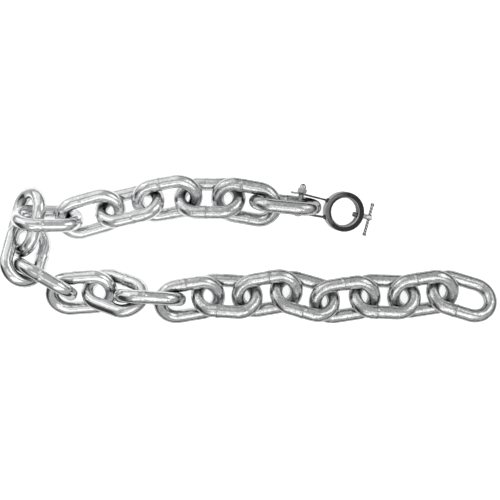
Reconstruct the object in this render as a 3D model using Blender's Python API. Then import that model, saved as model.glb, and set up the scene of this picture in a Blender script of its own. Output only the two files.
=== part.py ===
# A length of heavy short-link steel chain laid slack in a U on the floor, with a steel
# collar, fork and clamp screw on one end. Metres, +Z up, floor at z = 0.
import math

import bmesh
import bpy
import numpy as np
from mathutils import Matrix, Vector

# link of round bar, welded closed
barDia = 0.024            # diameter of the bar
linkLength = 0.130        # outside, end to end
linkWidth = 0.088         # outside, across both bars
barSides = 12             # flats round the bar
bendSteps = 10            # steps round each half-circle end
weldSwell = 0.0006        # how far the weld stands proud of the bar
weldReach = 0.006         # half length of the swelling
restGap = 0.00015         # gap between two links that rest on each other
fitGap = 0.0003           # gap between two fitted pieces
pathParts = 8             # parts each stretch of a link's middle line is split into
restPasses = 80           # rounds of moving the links until they touch and lie on the floor

# collar and what is on it, in the collar's own axes: X from fork to clamp screw, Z the bore
ringOuter = 0.0361        # radius
ringBore = 0.02535        # radius
ringDepth = 0.020
ringBevel = 0.0008
ringSteps = 56
holeSides = 20
armThick = 0.003
armTall = 0.018
armAtRing = 0.0153        # arm's middle from the fork's centre line, at the ring
armAtBolt = 0.0175        # the same at the bolt
forkAside = -0.00145      # fork's centre line from the collar's, along Y
boltReach = 0.0829        # bolt axis from the bore axis
armTail = 0.0196          # arm past the bolt axis
armMeetsRing = 0.032      # where the arm starts to spread, from the bore axis
armInner = 0.028          # arm's end before the ring's round is cut from it
armSpread = -0.045        # slope of the tail past the bolt
tailSteps = 5             # steps of the rounding at the tail
tailStep = 15.0           # degrees each
boltRadius = 0.00475
boltHeadRadius = 0.008
boltHeadTall = 0.0045
boltPastArm = 0.0095
nutAcross = 0.0150        # across flats
nutHexTall = 0.0072
nutTall = 0.0165
nutHoleDeep = 0.0105
nutEdge = 0.0007
domeFoot = 0.0092         # height where the dome begins to round over
domeRadius = 0.0062
screwRadius = 0.00475
screwEdge = 0.0012
screwAside = -0.0012      # clamp screw's axis from the collar's centre line, along Y
screwTip = 0.0176         # tip of the clamp screw from the bore axis
screwEnd = 0.0540         # outer end of the clamp screw from the bore axis
crossAt = 0.0490          # axis of the sliding bar from the bore axis
crossRadius = 0.0025
crossHole = 0.0031        # radius; the bar hangs loose in it
crossLow = -0.0345        # ends of the sliding bar from the screw's axis
crossHigh = 0.0265
crossYaw = 3.5            # degrees that its upper end leans away from the ring
knobRadius = 0.0034
knobLong = 0.0055
knobEdge = 0.0009

# where the collar's bore meets its middle plane, on the floor plan, and which way X points
ringX = 0.169
ringY = 0.0695
ringHeading = -11.0
ringRoll = 4.0            # degrees that the fork's +Y arm is higher than the other
leanLow, leanHigh = 8.0, 18.0    # the collar's tilt in degrees lies between these

# how each link lies, from the collar end to the free end: x and y of its middle in mm,
# then heading, pitch and roll in degrees; a positive roll lifts the welded bar, which is
# the one on the link's own +Y side; the last figure is the weld's place along that bar in
# mm from its middle
linkLies = (
    (62.5, 82, -6, 3, -78, 3),
    (-6.5, 86.5, -10, 5, 30, -9),
    (-75, 94.5, 180, 0, 35, 6),
    (-147, 91.5, 10, 5, 34, -5),
    (-216, 78.5, -167, -2, 44, -4),
    (-286, 62.5, 16, 0, 32, -7),
    (-360, 56, 180, 17, 65, 14.5),
    (-400.5, 50.5, 76, 1, -45, 4),
    (-400.5, -4.5, -99, 27, -32, -6),
    (-364.5, -51, -30, -1, 83, -6),
    (-303, -76.5, 4, -2, 30, -9),
    (-242, -76, -18, 23, -32, 3),
    (-178, -86, -4, -11, 87, -14.5),
    (-109, -89.5, 9, -7, 29, -4),
    (-42.5, -82.5, 176, -2, 32, 14.5),
    (29, -77, 10, 2, 28, 9),
    (99.5, -83, 164, 0, 31, -3),
    (171.5, -90.5, 9, 2, 26, 4),
    (241, -84, 178, -2, 30, 14),
    (312, -78, 9, 2, 27, -8),
    (380.5, -83, 163, -3, 28, 5),
)


def clearScene():
    for thing in list(bpy.data.objects):
        bpy.data.objects.remove(thing)


def makeMaterial(name, colour, roughness, metallic):
    material = bpy.data.materials.new(name)
    material.use_nodes = True
    shader = material.node_tree.nodes["Principled BSDF"]
    shader.inputs["Base Color"].default_value = (*colour, 1.0)
    shader.inputs["Roughness"].default_value = roughness
    shader.inputs["Metallic"].default_value = metallic
    material.diffuse_color = (*colour, 1.0)
    return material


def addObject(name, mesh, material, parent=None):
    thing = bpy.data.objects.new(name, mesh)
    bpy.context.collection.objects.link(thing)
    if not mesh.materials:
        mesh.materials.append(material)
    thing.parent = parent
    return thing


def meshFrom(name, points, faces, sharpDegrees=35.0):
    mesh = bpy.data.meshes.new(name)
    mesh.from_pydata([tuple(p) for p in points], [], faces)
    work = bmesh.new()
    work.from_mesh(mesh)
    bmesh.ops.recalc_face_normals(work, faces=work.faces)
    work.to_mesh(mesh)
    work.free()
    mesh.shade_smooth()
    mesh.set_sharp_from_angle(angle=math.radians(sharpDegrees))
    return mesh


# places along the welded bar where the swelling starts, peaks and ends
def weldStations(weldAt):
    return tuple(weldAt / 1000 + step * weldReach for step in (1, 0, -1))


# middle line of a link: along one bar, round an end, back along the other and round again;
# returns points and the sideways direction in the link's plane at each, both in link axes
def linkPath(stepsPerBend, weldBar, plainBar=()):
    half = (linkLength - linkWidth) / 2
    bend = (linkWidth - barDia) / 2
    points, sides = [], []
    for end in (1, -1):
        for step in range(stepsPerBend + 1):
            turn = math.pi * (step / stepsPerBend - 0.5)
            side = (end * math.cos(turn), end * math.sin(turn))
            points.append((end * half + bend * side[0], bend * side[1], 0.0))
            sides.append((side[0], side[1], 0.0))
        for x in weldBar if end == 1 else plainBar:
            points.append((x, end * bend, 0.0))
            sides.append((0.0, end, 0.0))
    return np.array(points), np.array(sides)


def linkMesh(weldAt):
    points, sides = linkPath(bendSteps, weldStations(weldAt))
    radii = np.full(len(points), barDia / 2)
    radii[bendSteps + 2] += weldSwell
    turns = 2 * math.pi * (np.arange(barSides) + 0.5) / barSides
    across = np.cos(turns)[None, :, None] * sides[:, None, :]
    up = np.sin(turns)[None, :, None] * np.array((0.0, 0.0, 1.0))
    skin = points[:, None, :] + radii[:, None, None] * (across + up)
    count = len(points)
    faces = []
    for i in range(count):
        for j in range(barSides):
            following, beside = (i + 1) % count, (j + 1) % barSides
            faces.append((i * barSides + j, following * barSides + j,
                          following * barSides + beside, i * barSides + beside))
    return meshFrom("chain_link", skin.reshape(-1, 3), faces, 50.0)


def linkTurn(heading, pitch, roll):
    turn = Matrix.Rotation(math.radians(heading), 3, "Z")
    turn @= Matrix.Rotation(math.radians(-pitch), 3, "Y")
    return turn @ Matrix.Rotation(math.radians(roll), 3, "X")


# shortest way from one line of points to another: its length and unit direction
def shortestWay(first, second):
    steps = second[None, :, :] - first[:, None, :]
    lengths = np.sqrt((steps ** 2).sum(axis=2))
    spot = np.unravel_index(lengths.argmin(), lengths.shape)
    return lengths[spot], steps[spot] / lengths[spot]


# middle line of the faceted link as closely spaced points along its straight stretches
def finePath(weldAt):
    corners, _ = linkPath(bendSteps, weldStations(weldAt), weldStations(weldAt)[::-1])
    following = np.roll(corners, -1, axis=0)
    shares = np.arange(pathParts)[None, :, None] / pathParts
    return (corners[:, None] * (1 - shares) + following[:, None] * shares).reshape(-1, 3)


# middle of every link once each rests on the floor and just touches its neighbours
def restLinks():
    lines = []
    for x, y, heading, pitch, roll, weldAt in linkLies:
        turned = finePath(weldAt) @ np.array(linkTurn(heading, pitch, roll)).T
        turned += (x / 1000, y / 1000, barDia / 2 - turned[:, 2].min())
        lines.append(turned)
    near = barDia + restGap
    reach = np.full(len(lines[0]), barDia / 2)
    weld = (bendSteps + 2) * pathParts
    fade = 1 - np.abs(np.arange(-pathParts, pathParts + 1)) / pathParts
    reach[weld - pathParts:weld + pathParts + 1] += weldSwell * fade
    for _ in range(restPasses):
        for i in range(len(lines) - 1):
            length, way = shortestWay(lines[i], lines[i + 1])
            move = (length - near) / 2 * way
            lines[i] += move
            lines[i + 1] -= move
        for i in range(len(lines) - 2):
            length, way = shortestWay(lines[i], lines[i + 2])
            move = min(length - near, 0.0) / 2 * way
            lines[i] += move
            lines[i + 2] -= move
        for line in lines:
            sunk = (reach - line[:, 2]).max()
            line[:, 2] += sunk if sunk > 0 else sunk * 0.5
    places = []
    for (_, _, heading, pitch, roll, weldAt), line in zip(linkLies, lines):
        turn = np.array(linkTurn(heading, pitch, roll))
        places.append(line.mean(axis=0) - turn @ finePath(weldAt).mean(axis=0))
    return places, lines


def addLinks(material, places, parent):
    for number, (place, lie) in enumerate(zip(places, linkLies), 1):
        _, _, heading, pitch, roll, weldAt = lie
        link = addObject("chain_link_%02d" % number, linkMesh(weldAt), material, parent)
        link.location = Vector(place)
        link.rotation_euler = (math.radians(roll), math.radians(-pitch), math.radians(heading))


# closed skin through a row of rings that all have the same number of points
def loftMesh(name, rings, sharpDegrees=35.0):
    count = len(rings[0])
    points = [p for ring in rings for p in ring]
    faces = []
    for i in range(len(rings) - 1):
        for j in range(count):
            beside = (j + 1) % count
            faces.append((i * count + j, i * count + beside,
                          (i + 1) * count + beside, (i + 1) * count + j))
    last = (len(rings) - 1) * count
    faces.append(tuple(range(count)))
    faces.append(tuple(range(last, last + count)))
    return meshFrom(name, points, faces, sharpDegrees)


# round piece turned about Z from (height, radius) pairs
def turnedMesh(name, profile, sides):
    rings = []
    for height, radius in profile:
        turns = [2 * math.pi * j / sides for j in range(sides)]
        rings.append([(radius * math.cos(a), radius * math.sin(a), height) for a in turns])
    return loftMesh(name, rings)


# tool shape that is taken away from a piece and left out of the part
def addCutter(name, mesh, parent, location, rotation):
    cutter = addObject(name, mesh, bpy.data.materials["cutter"], parent)
    cutter.location = location
    cutter.rotation_euler = rotation
    cutter.hide_render = True
    cutter.display_type = "WIRE"
    return cutter


def cutWith(thing, cutter):
    cut = thing.modifiers.new("cut_" + cutter.name, "BOOLEAN")
    cut.operation = "DIFFERENCE"
    cut.solver = "EXACT"
    cut.object = cutter


alongX = (0.0, math.radians(90), 0.0)
alongY = (math.radians(-90), 0.0, 0.0)


def addRing(material, frame):
    half, edge = ringDepth / 2, ringBevel
    outline = ((ringBore, edge - half), (ringBore + edge, -half), (ringOuter - edge, -half),
               (ringOuter, edge - half), (ringOuter, half - edge), (ringOuter - edge, half),
               (ringBore + edge, half), (ringBore, half - edge))
    steps, rim = ringSteps, len(outline)
    points, faces = [], []
    for i in range(steps):
        turn = 2 * math.pi * i / steps
        points += [(r * math.cos(turn), r * math.sin(turn), z) for r, z in outline]
        for j in range(rim):
            following, beside = (i + 1) % steps, (j + 1) % rim
            faces.append((i * rim + j, following * rim + j,
                          following * rim + beside, i * rim + beside))
    ring = addObject("collar_ring", meshFrom("collar_ring", points, faces), material, frame)
    hole = (screwRadius + fitGap) / math.cos(math.pi / holeSides)
    tool = turnedMesh("screw_hole_tool", ((0.0, hole), (ringOuter, hole)), holeSides)
    start = (ringBore / 2, screwAside, 0.0)
    cutWith(ring, addCutter("screw_hole_tool", tool, frame, start, alongX))


# flat bar from the ring past the bolt, with a rounded tail; side is 1 or -1
def addArm(name, side, material, frame):
    half = armTall / 2
    tailMiddle = boltReach + armTail - half
    stations = [(-armInner, half), (-boltReach, half), (-tailMiddle, half)]
    for step in range(1, tailSteps + 1):
        turn = math.radians(tailStep * step)
        stations.append((-tailMiddle - half * math.sin(turn), half * math.cos(turn)))
    rings = []
    for x, reach in stations:
        if x > -boltReach:
            share = (-x - armMeetsRing) / (boltReach - armMeetsRing)
            away = armAtRing + (armAtBolt - armAtRing) * share
        else:
            away = armAtBolt - armSpread * (x + boltReach)
        inner = forkAside + side * (away - armThick / 2)
        outer = forkAside + side * (away + armThick / 2)
        rings.append([(x, inner, -reach), (x, outer, -reach), (x, outer, reach), (x, inner, reach)])
    arm = addObject(name, loftMesh(name, rings), material, frame)
    hole = (boltRadius + fitGap) / math.cos(math.pi / holeSides)
    tool = turnedMesh(name + "_hole_tool", ((-2 * armThick, hole), (2 * armThick, hole)), holeSides)
    middle = (-boltReach, forkAside + side * armAtBolt, 0.0)
    cutWith(arm, addCutter(name + "_hole_tool", tool, frame, middle, alongY))
    clear = ringOuter + fitGap
    tool = turnedMesh(name + "_ring_tool", ((-ringDepth, clear), (ringDepth, clear)), ringSteps)
    cutWith(arm, addCutter(name + "_ring_tool", tool, frame, (0.0, 0.0, 0.0), (0.0, 0.0, 0.0)))


# round-headed bolt through both arms and the eye of the first link
def addBolt(material, frame):
    seat = -(armAtBolt + armThick / 2 + fitGap)
    profile = []
    for step in range(5):
        turn = math.radians(10 + 18 * step)
        profile.append((seat - boltHeadTall * math.cos(turn), boltHeadRadius * math.sin(turn)))
    profile.append((seat, boltHeadRadius))
    profile.append((seat, boltRadius))
    tip = armAtBolt + armThick / 2 + boltPastArm
    profile.append((tip - knobEdge, boltRadius))
    profile.append((tip, boltRadius - knobEdge))
    bolt = addObject("fork_bolt", turnedMesh("fork_bolt", profile, 24), material, frame)
    bolt.location = (-boltReach, forkAside, 0.0)
    bolt.rotation_euler = alongY


# hexagon nut with a closed dome, its corners up and down
def addCapNut(material, frame):
    count = 24
    flat = nutAcross / 2

    def ring(height, radius, hexagon):
        line = []
        for j in range(count):
            turn = 2 * math.pi * j / count
            fold = (turn + math.pi / 6) % (math.pi / 3) - math.pi / 6
            reach = min(radius, flat / math.cos(fold)) if hexagon else radius
            line.append((reach * math.cos(turn), reach * math.sin(turn), height))
        return line

    corner = flat / math.cos(math.pi / 6)
    hole = (boltRadius + fitGap) / math.cos(math.pi / count)
    rings = [ring(nutHoleDeep, hole, False), ring(0.0, hole, False), ring(0.0, flat, False)]
    rings += [ring(nutEdge, corner, True), ring(nutHexTall - nutEdge, corner, True)]
    rings += [ring(nutHexTall, flat, False), ring(nutHexTall, domeRadius, False)]
    for step in range(6):
        turn = math.radians(16 * step)
        height = domeFoot + (nutTall - domeFoot) * math.sin(turn)
        rings.append(ring(height, domeRadius * math.cos(turn), False))
    nut = addObject("cap_nut", loftMesh("cap_nut", rings), material, frame)
    nut.location = (-boltReach, forkAside + armAtBolt + armThick / 2 + fitGap, 0.0)
    nut.rotation_euler = alongY


# plain-ended screw with a cross hole, its origin on its own axis
def addClampScrew(material, frame):
    inset = screwRadius - screwEdge
    profile = ((screwTip, inset), (screwTip + screwEdge, screwRadius),
               (screwEnd - screwEdge, screwRadius), (screwEnd, inset))
    profile = [(x - crossAt, radius) for x, radius in profile]
    screw = addObject("clamp_screw", turnedMesh("clamp_screw", profile, 24), material, frame)
    screw.location = (crossAt, screwAside, 0.0)
    screw.rotation_euler = alongX
    sides = 16
    hole = crossHole / math.cos(math.pi / sides)
    tool = turnedMesh("cross_hole_tool", ((-2 * screwRadius, hole), (2 * screwRadius, hole)), sides)
    middle = (crossAt, screwAside, 0.0)
    cutWith(screw, addCutter("cross_hole_tool", tool, frame, middle, alongY))


# sliding bar with a rounded knob at each end, lying in the bottom of its loose hole
def addCrossBar(material, frame):
    low, high, edge = crossLow, crossHigh, knobEdge
    profile = ((low, knobRadius - edge), (low + edge, knobRadius),
               (low + knobLong - edge, knobRadius), (low + knobLong, crossRadius),
               (high - knobLong, crossRadius), (high - knobLong + edge, knobRadius),
               (high - edge, knobRadius), (high, knobRadius - edge))
    bar = addObject("sliding_bar", turnedMesh("sliding_bar", profile, 16), material, frame)
    bar.location = (crossAt, screwAside, crossRadius + fitGap - crossHole)
    bar.rotation_euler = (alongY[0], 0.0, math.radians(-crossYaw))


# frame of the collar when it leans on the floor at its screw side by this tilt in degrees
def collarMatrix(tilt):
    turn = Matrix.Rotation(math.radians(ringHeading), 4, "Z")
    turn @= Matrix.Rotation(math.radians(tilt), 4, "Y")
    turn @= Matrix.Rotation(math.radians(ringRoll), 4, "X")
    below = (ringOuter - ringBevel) * math.hypot(turn[2][0], turn[2][1])
    height = below + ringDepth / 2 * turn[2][2]
    return Matrix.Translation((ringX, ringY, height)) @ turn


# tilt at which the bolt rests on the lower bar of the first link
def collarTilt(firstLink):
    low, high = leanLow, leanHigh
    for _ in range(24):
        tilt = (low + high) / 2
        frame = collarMatrix(tilt)
        reach = forkAside + np.linspace(-armAtBolt, armAtBolt, 21)
        axis = [frame @ Vector((-boltReach, y, 0.0)) for y in reach]
        length, _ = shortestWay(firstLink, np.array([tuple(p) for p in axis]))
        if length < barDia / 2 + boltRadius + fitGap:
            low = tilt
        else:
            high = tilt
    return high


def addEmpty(name, parent):
    empty = bpy.data.objects.new(name, None)
    bpy.context.collection.objects.link(empty)
    empty.parent = parent
    return empty


def build():
    clearScene()
    galvanised = makeMaterial("galvanised_steel", (0.62, 0.63, 0.64), 0.34, 0.95)
    darkSteel = makeMaterial("dark_steel", (0.075, 0.075, 0.08), 0.42, 0.85)
    armSteel = makeMaterial("arm_steel", (0.30, 0.30, 0.31), 0.40, 0.9)
    plated = makeMaterial("bright_plating", (0.70, 0.71, 0.72), 0.18, 1.0)
    makeMaterial("cutter", (1.0, 0.3, 0.1), 0.5, 0.0)

    places, lines = restLinks()
    everything = np.vstack(lines)
    middle = (everything.min(axis=0) + everything.max(axis=0)) / 2
    laid = addEmpty("laid_chain", None)
    laid.location = (-middle[0], -middle[1], 0.0)
    addLinks(galvanised, places, laid)

    frame = addEmpty("collar_frame", laid)
    frame.matrix_local = collarMatrix(collarTilt(lines[0]))
    addRing(darkSteel, frame)
    addArm("fork_arm_upper", 1, armSteel, frame)
    addArm("fork_arm_lower", -1, armSteel, frame)
    addBolt(plated, frame)
    addCapNut(plated, frame)
    addClampScrew(plated, frame)
    addCrossBar(plated, frame)
    bpy.context.view_layer.update()


build()
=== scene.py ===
# Looks of a heavy welded chain that lies in a U, with a dark collar, fork and clamp screw on one end.
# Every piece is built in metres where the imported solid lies.
import math

import bpy
import numpy as np
from mathutils import Matrix


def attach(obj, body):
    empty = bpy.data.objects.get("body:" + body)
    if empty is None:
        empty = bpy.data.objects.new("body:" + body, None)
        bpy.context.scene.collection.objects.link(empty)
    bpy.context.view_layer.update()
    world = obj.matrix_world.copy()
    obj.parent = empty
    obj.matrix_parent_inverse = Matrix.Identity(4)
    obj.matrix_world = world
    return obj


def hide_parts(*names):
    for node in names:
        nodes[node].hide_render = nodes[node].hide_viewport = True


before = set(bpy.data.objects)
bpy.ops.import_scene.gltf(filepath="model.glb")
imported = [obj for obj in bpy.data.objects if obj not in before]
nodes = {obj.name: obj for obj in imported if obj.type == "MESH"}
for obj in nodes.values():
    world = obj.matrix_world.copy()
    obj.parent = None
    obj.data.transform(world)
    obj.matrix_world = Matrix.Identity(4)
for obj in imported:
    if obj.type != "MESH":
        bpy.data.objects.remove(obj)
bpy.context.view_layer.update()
up = np.array((0.0, 0.0, 1.0))
fullTurn = 2 * math.pi
quarterTurn = 0.5 * math.pi
print("frame loaded,", len(nodes), "solids")


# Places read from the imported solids

def vertexPlaces(mesh):
    places = np.zeros(len(mesh.vertices) * 3)
    mesh.vertices.foreach_get("co", places)
    return places.reshape(-1, 3)


# corners of each triangle of a solid
def nodeCorners(name):
    mesh = nodes[name].data
    mesh.calc_loop_triangles()
    triangles = np.zeros(len(mesh.loop_triangles) * 3, dtype=int)
    mesh.loop_triangles.foreach_get("vertices", triangles)
    return vertexPlaces(mesh)[triangles].reshape(-1, 3, 3)


# middle of a solid's skin and its three directions, from the widest spread to the narrowest
def spreadOf(name):
    corners = nodeCorners(name)
    crossed = np.cross(corners[:, 1] - corners[:, 0], corners[:, 2] - corners[:, 0])
    area = np.linalg.norm(crossed, axis=1)
    centres = corners.mean(axis=1)
    middle = (centres * area[:, None]).sum(axis=0) / area.sum()
    away = corners - middle
    spread = np.einsum("t,tki,tkj->ij", area, away, away)
    _, directions = np.linalg.eigh(spread)
    return middle, directions[:, ::-1].T, away.reshape(-1, 3)


# a link's place: X along it, Y towards the bar with the weld, which swells a little there,
# and where along X the weld is
def linkPlace(name):
    middle, (along, across, _), away = spreadOf(name)
    reach = away @ across
    if reach.max() + reach.min() < 0:
        across = -across
    if along[np.abs(along).argmax()] < 0:
        along = -along
    reach = away @ across
    swollen = reach > reach.max() - chainLink["swollenBand"]
    weldAt = (away @ along)[swollen].mean()
    return middle, np.array((along, across, np.cross(along, across))), weldAt


# the collar's place: Z up the bore, X out along the clamp screw
def collarPlace():
    middle, (_, _, bore), away = spreadOf("collar_ring")
    bore = bore * np.sign(bore[2])
    screwMiddle, (outward, _, _), _ = spreadOf("clamp_screw")
    outward = outward * np.sign(outward @ (screwMiddle - middle))
    outward -= bore * (outward @ bore)
    outward /= np.linalg.norm(outward)
    axes = np.array((outward, np.cross(bore, outward), bore))
    reach = away @ axes.T
    return middle + (reach.max(axis=0) + reach.min(axis=0)) / 2 @ axes, axes


# Meshes from arrays

# angles round a section, as one row
def turnsRound(count):
    return fullTurn * np.arange(count)[None, :] / count


# points from three coordinates, each of which may vary along the rows, the columns or both
def gridOf(x, y, z):
    return np.stack(np.broadcast_arrays(x, y, z), axis=-1)


def smoothMesh(name, points, faces, sharpDegrees):
    mesh = bpy.data.meshes.new(name)
    mesh.from_pydata(points, [], faces)
    mesh.update()
    mesh.shade_smooth()
    mesh.set_sharp_from_angle(angle=math.radians(sharpDegrees))
    return mesh


# faces of a grid of rows and columns; closed rings wrap round, and open ends get a cap
def gridFaces(rows, columns, ringed):
    index = np.arange(rows * columns).reshape(rows, columns)
    start = index if ringed else index[:-1]
    after = np.roll(index, -1, axis=0) if ringed else index[1:]
    quads = np.stack((start, np.roll(start, -1, axis=1), np.roll(after, -1, axis=1), after), axis=-1)
    faces = quads.reshape(-1, 4).tolist()
    if not ringed:
        faces.append(index[0, ::-1].tolist())
        faces.append(index[-1].tolist())
    return faces


# flipped turns the faces round where rows and columns run the other way about the skin
def gridMesh(name, grid, sharpDegrees, ringed=False, flipped=False):
    rows, columns = grid.shape[:2]
    faces = gridFaces(rows, columns, ringed)
    if flipped:
        faces = [face[::-1] for face in faces]
    return smoothMesh(name, grid.reshape(-1, 3), faces, sharpDegrees)


# one number, or one vector, for each vertex of a mesh
def addAttribute(mesh, name, kind, values):
    attribute = mesh.attributes.new(name, kind, "POINT")
    attribute.data.foreach_set("vector" if kind == "FLOAT_VECTOR" else "value",
                               np.asarray(values, dtype=np.float32).ravel())


def addPiece(name, mesh, finish, body, replaced=()):
    piece = bpy.data.objects.new(name, mesh)
    bpy.context.scene.collection.objects.link(piece)
    mesh.materials.clear()
    mesh.materials.append(finish)
    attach(piece, body)
    if replaced:
        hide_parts(*replaced)


# takes the shape of one mesh out of another and gives the rest as a new mesh
def cutMesh(mesh, tool, sharpDegrees):
    whole = bpy.data.objects.new(mesh.name + "_whole", mesh)
    cutter = bpy.data.objects.new(mesh.name + "_tool", tool)
    for thing in (whole, cutter):
        bpy.context.scene.collection.objects.link(thing)
    cut = whole.modifiers.new("cut", "BOOLEAN")
    cut.operation = "DIFFERENCE"
    cut.solver = "EXACT"
    cut.object = cutter
    ready = whole.evaluated_get(bpy.context.evaluated_depsgraph_get())
    left = bpy.data.meshes.new_from_object(ready)
    for thing in (whole, cutter):
        bpy.data.objects.remove(thing)
    left.shade_smooth()
    left.set_sharp_from_angle(angle=math.radians(sharpDegrees))
    return left


# sine waves in two directions that add up to an uneven skin: count of them, each with up to
# longest waves along the length and up to most whole waves round the section
def wavesOver(rng, along, around, length, count, longest, most):
    total = np.zeros(np.broadcast(along, around).shape)
    for _ in range(count):
        waves = rng.integers(1, longest + 1)
        turns = rng.integers(0, most + 1)
        phase = rng.uniform(0, fullTurn)
        total += np.sin(fullTurn * waves * along / length + turns * around + phase) / count
    return total


# Shader tools

# a socket that takes part in sums
class Wire:
    def __init__(self, paint, socket):
        self.paint = paint
        self.socket = socket

    def worked(self, operation, first, second=0.0):
        made = self.paint.node("ShaderNodeMath", {"operation": operation}, {0: first, 1: second})
        return Wire(self.paint, made.outputs[0])

    def __add__(self, other):
        return self.worked("ADD", self, other)

    def __radd__(self, other):
        return self.worked("ADD", other, self)

    def __sub__(self, other):
        return self.worked("SUBTRACT", self, other)

    def __rsub__(self, other):
        return self.worked("SUBTRACT", other, self)

    def __mul__(self, other):
        return self.worked("MULTIPLY", self, other)

    def __rmul__(self, other):
        return self.worked("MULTIPLY", other, self)

    def __abs__(self):
        return self.worked("ABSOLUTE", self)


# nodes of a material, or of the world
class Paint:
    def __init__(self, owner, shader="Principled BSDF"):
        self.owner = owner
        self.owner.use_nodes = True
        self.tree = owner.node_tree
        self.shader = self.tree.nodes[shader]

    # any node, from its type, its settings and the values or links of its sockets
    def node(self, kind, settings=None, values=None):
        made = self.tree.nodes.new(kind)
        for name, value in (settings or {}).items():
            setattr(made, name, value)
        for socket, value in (values or {}).items():
            self.feed(made.inputs[socket], value)
        return made

    def feed(self, socket, value):
        if isinstance(value, Wire):
            self.tree.links.new(value.socket, socket)
        else:
            socket.default_value = value

    # where the texture is looked up: the piece's own place, or the direction in the world
    def place(self, output="Object"):
        return Wire(self, self.node("ShaderNodeTexCoord").outputs[output])

    def attribute(self, name, output="Fac"):
        return Wire(self, self.node("ShaderNodeAttribute", {"attribute_name": name}).outputs[output])

    # x, y and z of a vector
    def parts(self, vector):
        made = self.node("ShaderNodeSeparateXYZ", None, {0: vector})
        return [Wire(self, output) for output in made.outputs]

    def stretched(self, vector, scale):
        made = self.node("ShaderNodeVectorMath", {"operation": "MULTIPLY"}, {0: vector, 1: scale})
        return Wire(self, made.outputs[0])

    def noise(self, vector, scale, detail, roughness, distortion=0.0):
        values = {"Vector": vector, "Scale": scale, "Detail": detail, "Roughness": roughness,
                  "Distortion": distortion}
        return Wire(self, self.node("ShaderNodeTexNoise", None, values).outputs[0])

    # one number at random for each crystal of a pattern
    def crystals(self, vector, scale):
        cells = self.node("ShaderNodeTexVoronoi", {"feature": "F1"}, {"Vector": vector, "Scale": scale})
        colour = Wire(self, cells.outputs["Color"])
        return Wire(self, self.node("ShaderNodeSeparateColor", None, {0: colour}).outputs[0])

    # runs from 0 to 1 as the value passes from low to high
    def between(self, value, low, high):
        values = {0: value, 1: low, 2: high, 3: 0.0, 4: 1.0}
        return Wire(self, self.node("ShaderNodeMapRange", {"clamp": True}, values).outputs[0])

    def mixed(self, share, first, second):
        made = self.node("ShaderNodeMix", {"data_type": "RGBA"}, {0: share, 6: first, 7: second})
        return Wire(self, made.outputs[2])

    # relief of a depth in metres, on top of the relief under it
    def bump(self, height, depth, under=None):
        values = {"Strength": 1.0, "Distance": depth, "Height": height}
        if under is not None:
            values["Normal"] = under
        return Wire(self, self.node("ShaderNodeBump", None, values).outputs[0])

    def finish(self, **values):
        for name, value in values.items():
            self.feed(self.shader.inputs[name.replace("_", " ")], value)
        return self.owner


# Zinc coat of the links

zincCoat = {
    "bright": (0.86, 0.865, 0.87, 1.0),
    "dull": (0.60, 0.605, 0.61, 1.0),
    # dark colour for specks and weld scale, and for the painted shade near contacts
    "grimeAndShade": (0.06, 0.06, 0.062, 1.0),
    "smoothest": 0.055,
    "roughest": 0.13,
    "patchScale": 70.0,
    "patchEdge": (0.40, 0.66),     # noise where a patch begins, and where it is full
    "patchDull": 0.45,             # how much of the dull colour the patches bring
    "crystalScale": 260.0,
    "crystalDull": 0.25,
    "drawnLines": (150.0, 420.0, 420.0),    # waves a metre along and across the bar
    "drawnDull": 0.25,
    "drawnDepth": 0.00013,
    "dullEdge": (0.15, 0.85),
    "speckScale": 520.0,
    "speckEdge": (0.50, 0.68),
    "speckShade": 0.56,
    "speckRough": 0.08,
    "peelScale": 120.0,
    "peelDepth": 0.00036,
    "grainScale": 430.0,
    "grainDepth": 0.00019,
    "weldShade": 0.5,
    "weldRough": 0.10,
    "rubSmooth": 0.05,             # inside the bends, where links rub on each other
    "contactShadeBase": 0.6,             # painted shade, with a little grime, near what a link touches
    "litFrom": -0.08,            # X where the links begin to be painted paler, as painted light, and where they are palest
    "litTo": -0.26,
    "litSpecks": 0.7,            # what the palest links lose of their specks, and of what follows
    "litDull": 0.25,
    "litWeld": 0.4,
    "litRelief": 0.5,
}
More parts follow.
